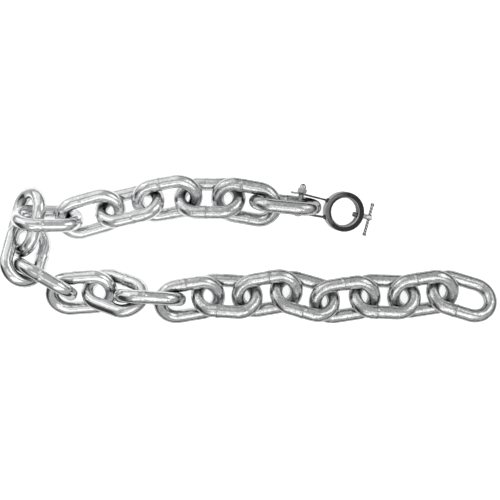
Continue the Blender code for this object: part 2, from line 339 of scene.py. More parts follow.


# bright zinc with dull patches, crystals and drawn lines, dark specks, painted shade with a little grime
# near contacts, and three layers of relief; towards -X the links are painted paler, as painted light, with
# fewer specks, fainter weld scale and less relief
def zincFinish():
    look = zincCoat
    paint = Paint(bpy.data.materials.new("zincCoatedSteel"))
    place = paint.place()
    # painted light: the links grow paler towards -X, with fewer specks, fainter weld scale and less relief
    paintedLight = paint.between(paint.parts(place)[0], look["litFrom"], look["litTo"])
    bar = paint.attribute("barPlace", "Vector")
    weld = paint.attribute("weldShare")
    rub = paint.attribute("rubShare")
    close = paint.attribute("contactShadeShare")
    drawn = paint.stretched(bar, look["drawnLines"])
    drawn = paint.noise(drawn, 1.0, detail=4.0, roughness=0.6, distortion=0.4)
    peel = paint.noise(place, look["peelScale"], detail=2.0, roughness=0.5)
    grain = paint.noise(place, look["grainScale"], detail=2.0, roughness=0.6)
    patches = paint.noise(place, look["patchScale"], detail=4.0, roughness=0.65)
    patches = paint.between(patches, *look["patchEdge"])
    specks = paint.noise(place, look["speckScale"], detail=3.0, roughness=0.6)
    specks = paint.between(specks, *look["speckEdge"]) * (1.0 - paintedLight * look["litSpecks"])
    crystals = paint.crystals(place, look["crystalScale"])
    dulled = patches * look["patchDull"] + crystals * look["crystalDull"] + drawn * look["drawnDull"]
    dulled = paint.between(dulled - paintedLight * look["litDull"], *look["dullEdge"])
    colour = paint.mixed(dulled, look["bright"], look["dull"])
    scale = weld * grain * (look["weldShade"] - paintedLight * look["litWeld"])
    # painted shade, with a little grime, near what a link touches
    contactShading = close * (grain + look["contactShadeBase"])
    soiledAndShaded = paint.between(specks * look["speckShade"] + scale + contactShading, 0.0, 1.0)
    colour = paint.mixed(soiledAndShaded, colour, look["grimeAndShade"])
    rough = look["smoothest"] + (look["roughest"] - look["smoothest"]) * (patches * 0.5 + drawn * 0.5)
    rough = rough + weld * look["weldRough"] - rub * look["rubSmooth"] + specks * look["speckRough"]
    relief = 1.0 - paintedLight * look["litRelief"]
    normal = paint.bump(peel * relief, look["peelDepth"])
    normal = paint.bump(drawn * relief, look["drawnDepth"], normal)
    normal = paint.bump(grain * relief, look["grainDepth"], normal)
    return paint.finish(Base_Color=colour, Metallic=1.0, Roughness=rough, Normal=normal)


# Chain links

chainLink = {
    "barRadius": 0.01195,
    "length": 0.130,
    "width": 0.088,
    "inset": 0.012,            # from the link's outside to the bar's middle line
    "around": 52,
    "step": 0.0017,            # between sections along the bar
    "sharp": 60.0,
    "swollenBand": 0.0001,     # outermost skin of the solid, by which the weld is found
    "weldZone": 0.0085,        # half length of the stretch with closer sections
    "weldSections": 57,
    "weldSwell": 0.00055,
    "weldReach": 0.0034,
    "swellVaries": 0.5,
    "swellWaves": (4, 1, 3),   # how many waves, the most along the bar and the most round it
    "seamDeep": 0.00040,
    "seamHalf": 0.00045,
    "seamWander": 1.6,         # in half widths of the seam
    "seamWaves": (5, 1, 5),
    "faintest": 0.3,           # share of its depth that the seam keeps on the links painted palest
    "scaleHalf": 0.0016,       # half width of the scale left by the welding
    "mismatch": 0.00035,       # how far the two bar ends miss each other at the weld
    "mismatchReach": 0.010,
    "uneven": 0.00012,
    "unevenWaves": (9, 14, 5),
    "crownOval": 0.012,        # share by which the section flattens round the bends
    "linePoints": 96,
    "seed": 100,               # each link adds its number
    "shadeReach": 0.018,       # how far from what it touches the painted shade reaches
    "shadeCurve": 1.3,
    "shadeOnTop": 0.12,        # share of the painted shade on skin that faces up
    "shadeEdge": (0.6, 0.15),  # upward part of the skin's direction where the painted shade begins, and is full
}


# half a straight bar, the radius of the bends and the way once round, on the bar's middle line
def linkStretches():
    half = (chainLink["length"] - chainLink["width"]) / 2
    bend = chainLink["width"] / 2 - chainLink["inset"]
    return half, bend, 4 * half + fullTurn * bend


# middle line and outward direction at a distance along the link from its weld: along half
# the welded bar, round an end, back along the other bar and round the other end
def linkLine(distance):
    half, bend, _ = linkStretches()
    arc = math.pi * bend
    first = np.clip((distance - half) / bend, 0, math.pi)
    second = np.clip((distance - 3 * half - arc) / bend, 0, math.pi)
    straight = np.clip(distance, 0, half) - np.clip(distance - half - arc, 0, 2 * half)
    straight = straight + np.clip(distance - 3 * half - 2 * arc, 0, half)
    line = gridOf(straight + bend * (np.sin(first) - np.sin(second)),
                  bend * (np.cos(first) + 1 - np.cos(second)), 0.0)
    return line, gridOf(np.sin(first + second), np.cos(first + second), 0.0)


# distances of the sections from the weld, closer near it at the start and the end
def linkSections():
    _, _, total = linkStretches()
    zone = chainLink["weldZone"]
    close = np.linspace(-zone, zone, chainLink["weldSections"])
    wide = np.linspace(zone, total - zone, round((total - 2 * zone) / chainLink["step"]))[1:-1]
    return np.concatenate((close[close >= 0], wide, total + close[close < 0]))


# radius at each place: a round bar, swollen and seamed at the weld, oval round the bends
def linkMesh(name, number, place, others):
    look = chainLink
    middle, axes, weldAt = place
    rng = np.random.default_rng(look["seed"] + number)
    _, bend, total = linkStretches()
    fromWeld = linkSections()
    distance = (fromWeld + weldAt) % total
    line, outward = linkLine(distance)
    around = turnsRound(look["around"])
    offset = np.where(fromWeld > total / 2, fromWeld - total, fromWeld)[:, None]
    wobble = look["seamHalf"] * look["seamWander"] * wavesOver(rng, 0.0, around, 1.0, *look["seamWaves"])
    swell = look["weldSwell"] * np.exp(-(offset / look["weldReach"]) ** 2)
    swell = swell * (1 + look["swellVaries"] * wavesOver(rng, 0.0, around, 1.0, *look["swellWaves"]))
    # seams grow fainter towards -X, where the links are painted paler
    worn = (middle[0] - zincCoat["litTo"]) / (zincCoat["litFrom"] - zincCoat["litTo"])
    seam = np.exp(-((offset - wobble) / look["seamHalf"]) ** 2)
    seam = look["seamDeep"] * np.clip(worn, look["faintest"], 1) * seam
    bent = 1 - np.clip(np.abs(line[:, 1:2]) / bend, 0, 1) ** 4
    oval = -look["crownOval"] * look["barRadius"] * bent * np.cos(2 * around)
    uneven = look["uneven"] * wavesOver(rng, distance[:, None], around, total, *look["unevenWaves"])
    radius = look["barRadius"] + swell - seam + oval + uneven
    skin = radius[..., None] * (np.cos(around)[..., None] * outward[:, None, :]
                                + np.sin(around)[..., None] * up)
    aside = rng.uniform(0, fullTurn)
    miss = look["mismatch"] * np.sign(offset) * np.exp(-np.abs(offset) / look["mismatchReach"])
    shift = miss * np.array((0.0, math.cos(aside), math.sin(aside)))
    grid = middle + (line[:, None, :] + skin + shift[:, None, :]) @ axes
    mesh = gridMesh(name, grid, look["sharp"], ringed=True)
    onBar = gridOf(fromWeld[:, None], look["barRadius"] * np.cos(around), look["barRadius"] * np.sin(around))
    addAttribute(mesh, "barPlace", "FLOAT_VECTOR", onBar + number)
    addAttribute(mesh, "weldShare", "FLOAT", np.exp(-((offset - wobble) / look["scaleHalf"]) ** 2))
    addAttribute(mesh, "rubShare", "FLOAT", np.clip(-np.cos(around), 0, 1) * bent)
    # the painted shade is strongest on skin that faces down or sideways
    facing = (skin @ axes)[..., 2] / look["barRadius"]
    begins, full = look["shadeEdge"]
    under = np.clip((begins - facing) / (begins - full), 0, 1)
    under = look["shadeOnTop"] + (1 - look["shadeOnTop"]) * under
    addAttribute(mesh, "contactShadeShare", "FLOAT", contactShadeShare(grid.reshape(-1, 3), others) * under.ravel())
    return mesh


# middle line of a link where it lies
def lineOf(place):
    middle, axes, _ = place
    _, _, total = linkStretches()
    line, _ = linkLine(np.linspace(0, total, chainLink["linePoints"], endpoint=False))
    return middle + line @ axes


# share of painted shade from how close the skin comes to its neighbours, from 0 to 1 where they touch; a
# neighbour is some points along its middle and how thick it is about them, taken a quarter at a time to save
# memory
def contactShadeShare(skin, others):
    gap = np.full(len(skin), 1.0)
    for points, radius in others:
        for part in np.array_split(points, 4):
            steps = skin[:, None, :] - part[None, :, :]
            gap = np.minimum(gap, np.sqrt((steps ** 2).sum(axis=2).min(axis=1)) - radius)
    return np.clip(1 - gap / chainLink["shadeReach"], 0, 1) ** chainLink["shadeCurve"]


# every link with painted shade, and a little grime, near the two links before it and the two after it, and
# the first link also near the fork arms
def addLinks(finish):
    names = sorted(name for name in nodes if name.startswith("chain_link"))
    places = [linkPlace(name) for name in names]
    lines = [(lineOf(place), chainLink["barRadius"]) for place in places]
    fork = [armMiddle(1), armMiddle(-1)]
    for number, name in enumerate(names, 1):
        others = lines[max(number - 3, 0):number - 1] + lines[number:number + 2]
        if number == 1:
            others += fork
        mesh = linkMesh("link_%02d" % number, number, places[number - 1], others)
        addPiece("link_%02d" % number, mesh, finish, "chain", [name])
    print(len(names), "links laid")


# Collar and what is on it

collarMiddle, collarAxes = collarPlace()


# takes points in the collar's own axes to their place
def onCollar(points):
    return collarMiddle + np.asarray(points) @ collarAxes


# Steel of the collar, the arms and the small hardware

darkCoat = {
    "face": (0.033, 0.033, 0.034, 1.0),
    "worn": (0.16, 0.16, 0.165, 1.0),
    "paintedSheen": (0.19, 0.19, 0.192, 1.0),
    # the walls are painted lighter than the face, as painted reflection
    "outerWallReflection": (0.62, 0.62, 0.625, 1.0),
    "innerWallReflection": (0.19, 0.19, 0.195, 1.0),
    "bevel": (0.50, 0.50, 0.505, 1.0),
    "metal": 0.9,
    "roughness": 0.34,
    "bevelSmooth": 0.16,
    "turnLines": (1.0, 2600.0, 2600.0),     # waves round the bore, and a metre outward and up
    "lineRough": 0.2,
    "lineDepth": 0.00008,
    "blotScale": 160.0,
    "blotRough": 0.25,
    "blotDepth": 0.00012,
    "scuffScale": 420.0,
    "scuffEdge": (0.56, 0.74),
    "scuffShare": 0.5,
    "sheenBlots": 0.9,              # how ragged the edge of the painted sheen is
    "sheenEdge": (0.05, 0.95),
}


# dark oxide with fine turning marks and scuffs; the turned walls are painted lighter as painted reflection,
# and the face towards the fork gets a painted sheen with painted shade round the bore beside it
def darkFinish():
    look = darkCoat
    paint = Paint(bpy.data.materials.new("darkOxideSteel"))
    place = paint.place()
    inner, outer = paint.attribute("innerShare"), paint.attribute("outerShare")
    bevel, paintedSheen = paint.attribute("rimShare"), paint.attribute("sheenShare")
    turned = paint.attribute("turnPlace", "Vector")
    lines = paint.noise(paint.stretched(turned, look["turnLines"]), 1.0, detail=3.0, roughness=0.6)
    blots = paint.noise(place, look["blotScale"], detail=4.0, roughness=0.6)
    scuffs = paint.noise(place, look["scuffScale"], detail=5.0, roughness=0.7, distortion=0.6)
    scuffs = paint.between(scuffs, *look["scuffEdge"])
    # painted sheen on the face towards the fork
    paintedSheen = paint.between(paintedSheen + (blots - 0.5) * look["sheenBlots"], *look["sheenEdge"])
    base = paint.mixed(paintedSheen, look["face"], look["paintedSheen"])
    base = paint.mixed(scuffs * look["scuffShare"], base, look["worn"])
    # painted shade round the bore beside the painted sheen
    lip, fade = collarRing["bore"] + collarRing["shadedLip"], collarRing["lipFade"]
    lip = paint.between(paint.parts(turned)[1], lip + fade, lip - fade) * paintedSheen
    # painted reflection on the outer and inner walls
    base = paint.mixed(outer, paint.mixed(inner, base, look["innerWallReflection"]), look["outerWallReflection"])
    base = paint.mixed(lip, paint.mixed(bevel, base, look["bevel"]), look["face"])
    rough = look["roughness"] + (blots - 0.5) * look["blotRough"] + (lines - 0.5) * look["lineRough"]
    normal = paint.bump(lines, look["lineDepth"])
    normal = paint.bump(blots, look["blotDepth"], normal)
    return paint.finish(Base_Color=base, Metallic=look["metal"], Normal=normal,
                        Roughness=rough - bevel * look["bevelSmooth"])


armCoat = {
    "bare": (0.16, 0.16, 0.165, 1.0),
    "scale": (0.045, 0.045, 0.047, 1.0),
    "tail": (0.62, 0.62, 0.63, 1.0),
    "metal": 0.95,
    "roughness": 0.38,
    "scaleScale": 230.0,
    "scaleEdge": (0.38, 0.60),
    "scaleRough": 0.12,
    "fineScale": 1700.0,
    "fineRough": 0.2,
    "fineDepth": 0.00007,
}


# rolled flat bar with some mill scale left on it, paler at the tail
def armFinish():
    look = armCoat
    paint = Paint(bpy.data.materials.new("rolledFlatBar"))
    place = paint.place()
    scale = paint.noise(place, look["scaleScale"], detail=5.0, roughness=0.65)
    scale = paint.between(scale, *look["scaleEdge"])
    fine = paint.noise(place, look["fineScale"], detail=3.0, roughness=0.6)
    colour = paint.mixed(scale, look["bare"], look["scale"])
    colour = paint.mixed(paint.attribute("tailShare"), colour, look["tail"])
    rough = look["roughness"] + scale * look["scaleRough"] + (fine - 0.5) * look["fineRough"]
    return paint.finish(Base_Color=colour, Metallic=look["metal"], Roughness=rough,
                        Normal=paint.bump(fine, look["fineDepth"]))


plateCoat = {
    "bright": (0.72, 0.725, 0.73, 1.0),
    "dull": (0.46, 0.465, 0.47, 1.0),
    # dark colour for painted shade in hollows, on the shank, at the nut's tip and on the screw in the bore,
    # and for the knobs' own dark tone
    "deep": (0.06, 0.06, 0.062, 1.0),
    "roughness": 0.10,
    "hazeScale": 330.0,
    "hazeEdge": (0.42, 0.70),
    "hazeShare": 0.6,
    "hazeRough": 0.08,
    "deepRough": 0.15,
    "fineScale": 2600.0,
    "fineDepth": 0.00003,
}


# bright zinc plating on the bolt, nut, screw and handle, hazed in patches, with painted shade in the twist's
# hollows, on the bolt's shank, at the nut's tip and on the screw inside the bore, and dark knobs
def plateFinish():
    look = plateCoat
    paint = Paint(bpy.data.materials.new("brightPlating"))
    place = paint.place()
    haze = paint.noise(place, look["hazeScale"], detail=4.0, roughness=0.6)
    haze = paint.between(haze, *look["hazeEdge"])
    fine = paint.noise(place, look["fineScale"], detail=2.0, roughness=0.6)
    deep = paint.attribute("shadeAndKnobShare")
    colour = paint.mixed(haze * look["hazeShare"], look["bright"], look["dull"])
    # painted shade, and the knobs' own dark tone
    colour = paint.mixed(deep, colour, look["deep"])
    rough = look["roughness"] + haze * look["hazeRough"] + deep * look["deepRough"]
    return paint.finish(Base_Color=colour, Metallic=1.0, Roughness=rough,
                        Normal=paint.bump(fine, look["fineDepth"]))


# Ring

collarRing = {
    "outer": 0.0361,
    "bore": 0.02535,
    "depth": 0.020,
    "rim": 0.0009,
    "bevel": 0.0010,           # flat bevel at both mouths of the bore
    "shadedLip": 0.0042,         # width of the painted shade round the bore where the face has its painted sheen
    "lipFade": 0.0009,
    "wallFade": 0.0006,
    "margin": 0.00001,         # for telling walls and bevels by their radius
    "around": 224,
    "rimSteps": 5,
    "faceSteps": 7,
    "shortest": 0.001,         # stretches of the section longer than this are divided
    "sharp": 35.0,
    "holeRadius": 0.00498,
    "holeReach": (0.012, 0.045),
    "holeAround": 48,
    "sheenAt": 168.0,           # degrees round from the clamp screw where the face gets its painted sheen
    "sheenFrom": 0.25,          # cosines of the angle from there
    "sheenOver": 0.6,
}


# section of the ring as (radius, height) points, round outside and bevelled at the bore
def ringSection():
    look = collarRing
    half, rim, bevel = look["depth"] / 2, look["rim"], look["bevel"]
    points = []
    for height, start in ((-half, -90.0), (half, 0.0)):
        turns = np.radians(start + 90.0 * np.linspace(0, 1, look["rimSteps"]))
        middle = np.array((look["outer"] - rim, height - rim * np.sign(height)))
        points.append(middle + rim * np.stack((np.cos(turns), np.sin(turns)), axis=-1))
    bore = look["bore"]
    points.append(np.array(((bore + bevel, half), (bore, half - bevel),
                            (bore, bevel - half), (bore + bevel, -half))))
    corner = np.concatenate(points)
    parts = []
    for i, here in enumerate(corner):
        there = corner[(i + 1) % len(corner)]
        count = look["faceSteps"] if np.linalg.norm(there - here) > look["shortest"] else 1
        parts.append(here + (there - here) * np.linspace(0, 1, count, endpoint=False)[:, None])
    return np.concatenate(parts)


# section of the ring turned about the bore, less the round way of the clamp screw
def addRing(finish):
    look = collarRing
    section = ringSection()
    turn = turnsRound(look["around"]).T
    grid = gridOf(section[:, 0] * np.cos(turn), section[:, 0] * np.sin(turn), section[:, 1])
    whole = gridMesh("collar", grid, look["sharp"], ringed=True)
    wayTurn = turnsRound(look["holeAround"])
    way = gridOf(np.array(look["holeReach"])[:, None], look["holeRadius"] * np.cos(wayTurn),
                 look["holeRadius"] * np.sin(wayTurn))
    tool = gridMesh("screwWay", way, look["sharp"])
    tool.transform(Matrix.Translation((0.0, clampScrew["aside"], 0.0)))
    mesh = cutMesh(whole, tool, look["sharp"])
    own = vertexPlaces(mesh)
    radius = np.hypot(own[:, 0], own[:, 1])
    around = np.arctan2(own[:, 1], own[:, 0])
    # outer and inner walls, which get painted reflection
    outer = np.clip((radius - look["outer"] + look["rim"]) / look["wallFade"], 0, 1)
    inner = radius < look["bore"] + look["margin"]
    bevel = radius < look["bore"] + look["bevel"] + look["margin"]
    bevel = bevel & (np.abs(own[:, 2]) > look["depth"] / 2 - look["bevel"] - look["margin"])
    # painted sheen on the face towards the fork
    sheen = np.cos(around - math.radians(look["sheenAt"]))
    sheen = np.clip((sheen - look["sheenFrom"]) / look["sheenOver"], 0, 1)
    mesh.vertices.foreach_set("co", onCollar(own).ravel())
    addAttribute(mesh, "innerShare", "FLOAT", inner)
    addAttribute(mesh, "outerShare", "FLOAT", outer)
    addAttribute(mesh, "rimShare", "FLOAT", bevel)
    addAttribute(mesh, "sheenShare", "FLOAT", sheen)
    addAttribute(mesh, "turnPlace", "FLOAT_VECTOR", gridOf(around, radius, own[:, 2]))
    addPiece("collar", mesh, finish, "chain", ["collar_ring"])


# Fork arms

forkArm = {
    "thick": 0.0036,
    "tall": 0.018,
    "atRing": 0.0153,          # from the fork's centre line, at the ring and at the bolt
    "atBolt": 0.0175,
    "aside": -0.00145,         # fork's centre line from the collar's
    "clear": 0.0002,           # between an arm's end and the ring
    "meetsRing": 0.032,
    "boltReach": 0.0829,
    "tail": 0.0196,
    "spread": -0.045,          # how far the tail leans out for each metre past the bolt
    "squareness": 0.16,        # 0 for a square section, 1 for a round one
    "tailFrom": 0.006,         # from the bolt to where the tail turns pale
    "tailFade": 0.003,
    "tailShade": 0.8,
    "sections": 60,
    "tailSections": 18,
    "tailEnd": 0.498,          # half turns of the tail's rounding, which stops just short of its tip
    "around": 48,
    "sharp": 40.0,
    "middlePoints": (40, 7),
    "middleShare": 0.9,
}


# distance of an arm's middle plane from the fork's centre line, so far out from the collar
def armAway(reach):
    look = forkArm
    share = np.clip((reach - look["meetsRing"]) / (look["boltReach"] - look["meetsRing"]), 0, None)
    return look["atRing"] + (look["atBolt"] - look["atRing"]) * share


# points over an arm's middle plane, and half its thickness
def armMiddle(side):
    look = forkArm
    long, high = look["middlePoints"]
    x = np.linspace(look["meetsRing"], look["boltReach"] + look["tail"], long)[:, None]
    tall = look["tall"] / 2 * np.linspace(-look["middleShare"], look["middleShare"], high)
    grid = gridOf(-x, look["aside"] + side * armAway(x), tall[None, :])
    return onCollar(grid.reshape(-1, 3)), look["thick"] / 2


# flat bar with eased edges: a rounded oblong section carried from the ring to the rounded tail
def addArm(name, side, finish, replaced):
    look = forkArm
    half = look["tall"] / 2
    clear = collarRing["outer"] + look["clear"]
    inner = abs(look["aside"] + side * (look["atRing"] - look["thick"] / 2))
    start = -math.sqrt(clear ** 2 - inner ** 2)
    end = -(look["boltReach"] + look["tail"])
    rounded = np.linspace(0, look["tailEnd"] * math.pi, look["tailSections"])[1:]
    x = np.concatenate((np.linspace(start, end + half, look["sections"]),
                        end + half * (1 - np.sin(rounded))))[:, None]
    after = look["atBolt"] - look["spread"] * (x + look["boltReach"])
    away = np.where(x > -look["boltReach"], armAway(-x), after)
    past = np.clip((end + half - x) / half, 0, 1)
    high = half * np.sqrt(1 - past ** 2)
    turn = fullTurn * (np.arange(look["around"])[None, :] + 0.5) / look["around"]
    across = look["thick"] / 2 * np.sign(np.cos(turn)) * np.abs(np.cos(turn)) ** look["squareness"]
    tall = high * np.sign(np.sin(turn)) * np.abs(np.sin(turn)) ** look["squareness"]
    grid = gridOf(x, look["aside"] + side * away + across, tall)
    mesh = gridMesh(name, onCollar(grid), look["sharp"], flipped=True)
    tail = np.clip((-x - look["boltReach"] - look["tailFrom"]) / look["tailFade"], 0, 1)
    addAttribute(mesh, "tailShare", "FLOAT", look["tailShade"] * tail * np.ones_like(turn))
    addPiece(name, mesh, finish, "chain", [replaced])


# Weld beads between the arms and the ring

weldBead = {
    "long": 0.0150,
    "radius": 0.0021,
    "sunk": 0.0002,            # into the ring
    "thinnest": 0.0004,        # square of the share of its radius that an end keeps
    "ripples": 7,
    "ripple": 0.16,
    "rippleLean": 0.12,
    "lump": 0.12,
    "lobes": 3,                # of the lumps, round the bead,
    "lumpWaves": 5,            # and how fast they wind along it
    "sections": 90,
    "around": 24,
    "sharp": 50.0,
}


# a bead up each side of an arm: round, with a ripple for each dab of the rod, thin at its ends
def addBead(name, side, outside, finish):
    look = weldBead
    share = np.linspace(-1, 1, look["sections"])[:, None]
    turn = turnsRound(look["around"])
    body = np.sqrt(np.clip(1 - share ** 4, look["thinnest"], 1))
    dab = look["ripples"] * (share + look["rippleLean"] * np.cos(turn))
    ripple = 1 + look["ripple"] * np.abs(np.sin(quarterTurn * dab))
    lumps = 1 + look["lump"] * np.sin(look["lobes"] * turn + side + look["lumpWaves"] * share)
    radius = look["radius"] * body * ripple * lumps
    beside = forkArm["aside"] + side * (forkArm["atRing"] + outside * forkArm["thick"] / 2)
    x = -math.sqrt(collarRing["outer"] ** 2 - beside ** 2) - look["sunk"]
    grid = gridOf(x + radius * np.cos(turn), beside + radius * np.sin(turn), share * look["long"] / 2)
    mesh = gridMesh(name, onCollar(grid), look["sharp"])
    addPiece(name, mesh, finish, "chain")


# Bolt and cap nut

forkBolt = {
    "shank": 0.00475,
    "headRadius": 0.008,
    "headTall": 0.0045,
    "headEdge": 0.0004,        # height of the head's straight edge
    "headEase": 0.0003,
    "domeDegrees": (1.0, 84.0),
    "domeSteps": 14,
    "pastArm": 0.0095,
    "chamfer": 0.001,
    "shankShade": 0.5,         # painted shade on the shank, and on the head's middle as far out as the shank
    "seatGap": 0.0001,         # under the head and under the nut
    "around": 64,
    "sharp": 40.0,
}


# round skin about the bolt's axis, which runs along the collar's Y
def turnedOnBolt(along, radius, turn):
    return gridOf(radius * np.cos(turn) - forkArm["boltReach"], forkArm["aside"] + along,
                  radius * np.sin(turn))


# domed head and plain shank with a chamfered tip, turned about the axis
def addBolt(finish):
    look = forkBolt
    head, shank = look["headRadius"], look["shank"]
    outside = forkArm["atBolt"] + forkArm["thick"] / 2
    seat = -(outside + look["seatGap"])
    tip = outside + look["pastArm"]
    dome = np.radians(np.linspace(*look["domeDegrees"], look["domeSteps"]))
    profile = np.concatenate((
        np.stack((seat - look["headTall"] * np.cos(dome), head * np.sin(dome)), axis=-1),
        ((seat - look["headEdge"], head), (seat, head - look["headEase"]), (seat, shank),
         (tip - look["chamfer"], shank), (tip, shank - look["chamfer"]))))
    along, radius = profile[:, :1], profile[:, 1:]
    turn = turnsRound(look["around"])
    mesh = gridMesh("bolt", onCollar(turnedOnBolt(along, radius, turn)), look["sharp"], flipped=True)
    # painted shade on the shank
    addAttribute(mesh, "shadeAndKnobShare", "FLOAT", look["shankShade"] * (radius <= shank) * np.ones_like(turn))
    addPiece("bolt", mesh, finish, "chain", ["fork_bolt"])


capNut = {
    "acrossFlats": 0.0150,
    "hexTall": 0.0072,
    "chamfer": 0.0012,
    "chamferSteps": 7,
    "flatFrom": 0.0016,
    "flatSteps": 6,
    "coneFoot": 0.975,         # cone that turns the corners off: its foot as a share of half the
    "coneSlope": 1.9,          # flats, how fast it widens, and how far past the corners
    "coneSpare": 0.001,
    "neckEase": 0.0003,
    "neckTall": 0.0005,
    "tall": 0.0165,
    "domeFoot": 0.0092,
    "domeRadius": 0.0062,
    "domeDegrees": (0.0, 88.5),
    "domeSteps": 16,
    "tipFrom": 0.0138,         # painted shade at the end of the dome
    "tipFade": 0.0012,
    "tipShade": 0.8,
    "around": 144,
    "sharp": 28.0,
}


# radius of a hexagon, less where a cone turns its corners off, and above it a neck and a dome
def addNut(finish):
    look = capNut
    seat = forkArm["atBolt"] + forkArm["thick"] / 2 + forkBolt["seatGap"]
    flat, tall = look["acrossFlats"] / 2, look["hexTall"]
    corner = flat / math.cos(math.pi / 6)
    hexHeights = np.concatenate((
        np.linspace(0, look["chamfer"], look["chamferSteps"]),
        np.linspace(look["flatFrom"], tall - look["flatFrom"], look["flatSteps"]),
        np.linspace(tall - look["chamfer"], tall, look["chamferSteps"])))
    edge = np.minimum(hexHeights, tall - hexHeights)
    cone = np.minimum(flat * look["coneFoot"] + look["coneSlope"] * edge, corner + look["coneSpare"])
    dome = np.radians(np.linspace(*look["domeDegrees"], look["domeSteps"]))
    domeHeights = look["domeFoot"] + (look["tall"] - look["domeFoot"]) * np.sin(dome)
    reach = look["domeRadius"]
    heights = np.concatenate((hexHeights, (tall, tall + look["neckTall"]), domeHeights))[:, None]
    reaches = np.concatenate((cone, (reach + look["neckEase"], reach), reach * np.cos(dome)))[:, None]
    isHex = np.arange(len(heights))[:, None] < len(hexHeights)
    turn = turnsRound(look["around"])
    # angle from the middle of the nearest flat
    fold = (turn + math.pi / 6) % (math.pi / 3) - math.pi / 6
    radius = np.where(isHex, np.minimum(flat / np.cos(fold), reaches), reaches)
    grid = turnedOnBolt(seat + heights, radius, turn)
    mesh = gridMesh("nut", onCollar(grid), look["sharp"], flipped=True)
    # painted shade at the end of the dome
    tip = look["tipShade"] * np.clip((heights - look["tipFrom"]) / look["tipFade"], 0, 1)
    addAttribute(mesh, "shadeAndKnobShare", "FLOAT", tip * np.ones_like(turn))
    addPiece("nut", mesh, finish, "chain", ["cap_nut"])


# Clamp screw

clampScrew = {
    "radius": 0.00475,
    "aside": -0.0012,          # from the collar's centre line
    "tip": 0.0176,
    "end": 0.0540,
    "edge": 0.0012,            # rounding of the outer end and lead of the tip
    "edgeSteps": 7,
    "threadEnd": 0.0435,
    "threadFade": 0.002,
    "pitch": 0.0015,
    "deep": 0.00085,
    "grooveTop": 1.25,         # the groove's section: a wedge with its point cut off flat
    "grooveSlope": 2.5,
    "stepsPerTurn": 12,
    "plainSteps": 8,
    "around": 48,
    "sharp": 50.0,
    "crossAt": 0.0490,
    "crossHole": 0.0031,
    "crossHalf": 0.008,
    "crossAround": 40,
    "crossSharp": 40.0,
    "shade": 0.55,             # painted shade on the part inside the bore
    "shadeFade": 0.001,
}


# radius of a round bar less a groove that winds once round for each pitch, and across it a hole
def addScrew(finish):
    look = clampScrew
    edge, end, threadEnd = look["edge"], look["end"], look["threadEnd"]
    threadSteps = round((threadEnd - look["tip"]) / look["pitch"] * look["stepsPerTurn"])
    rounded = np.linspace(0, quarterTurn, look["edgeSteps"])[1:]
    x = np.concatenate((np.linspace(look["tip"], threadEnd, threadSteps),
                        np.linspace(threadEnd, end - edge, look["plainSteps"])[1:],
                        end - edge * (1 - np.sin(rounded))))[:, None]
    turn = turnsRound(look["around"])
    phase = (x / look["pitch"] - turn / fullTurn) % 1.0
    groove = np.clip(look["grooveTop"] - look["grooveSlope"] * np.abs(phase - 0.5), 0, 1)
    fade = np.clip((threadEnd - x) / look["threadFade"], 0, 1)
    lead = np.clip((x - look["tip"]) / edge, 0, 1)
    rounding = np.clip((x - (end - edge)) / edge, 0, 1)
    radius = look["radius"] - look["deep"] * groove * fade
    radius = np.minimum(radius, look["radius"] - edge * (1 - lead))
    radius = radius - edge * (1 - np.sqrt(np.clip(1 - rounding ** 2, 0, 1)))
    grid = gridOf(x, look["aside"] + radius * np.cos(turn), radius * np.sin(turn))
    whole = gridMesh("screw", onCollar(grid), look["sharp"])
    around = turnsRound(look["crossAround"])
    way = gridOf(look["crossAt"] + look["crossHole"] * np.cos(around),
                 look["crossHalf"] * np.array((-1.0, 1.0))[:, None], look["crossHole"] * np.sin(around))
    tool = gridMesh("crossWay", onCollar(way), look["crossSharp"], flipped=True)
    mesh = cutMesh(whole, tool, look["sharp"])
    reach = (vertexPlaces(mesh) - collarMiddle) @ collarAxes[0]
    # painted shade on the part inside the bore
    dull = np.clip((collarRing["bore"] + look["shadeFade"] - reach) / look["shadeFade"], 0, 1)
    addAttribute(mesh, "shadeAndKnobShare", "FLOAT", look["shade"] * dull)
    addPiece("screw", mesh, finish, "clamp_screw", ["clamp_screw"])


# Sliding bar

slidingBar = {
    "radius": 0.0028,
    "low": -0.0345,
    "high": 0.0265,
    "yaw": 3.5,                # degrees that its upper end leans away from the ring
    "drop": -0.0003,
    "knobRadius": 0.0034,
    "knobLong": 0.0055,
    "knobEdge": 0.0009,
    "knobEase": 0.0004,        # how much the knob narrows towards the rod,
    "knobFoot": 0.0002,        # and how far from the rod it ends
    "edgeSteps": 7,
    "knobShade": 0.55,
    "twist": 0.0105,           # length of one full twist
    "strands": 2,
    "twistDeep": 0.00025,
    "twistFade": 0.002,
    "grooveGain": 2.2,         # how much of the twist's hollows gets painted shade
    "grooveLess": 0.9,
    "around": 48,
    "sections": 220,
    "sharp": 45.0,
}


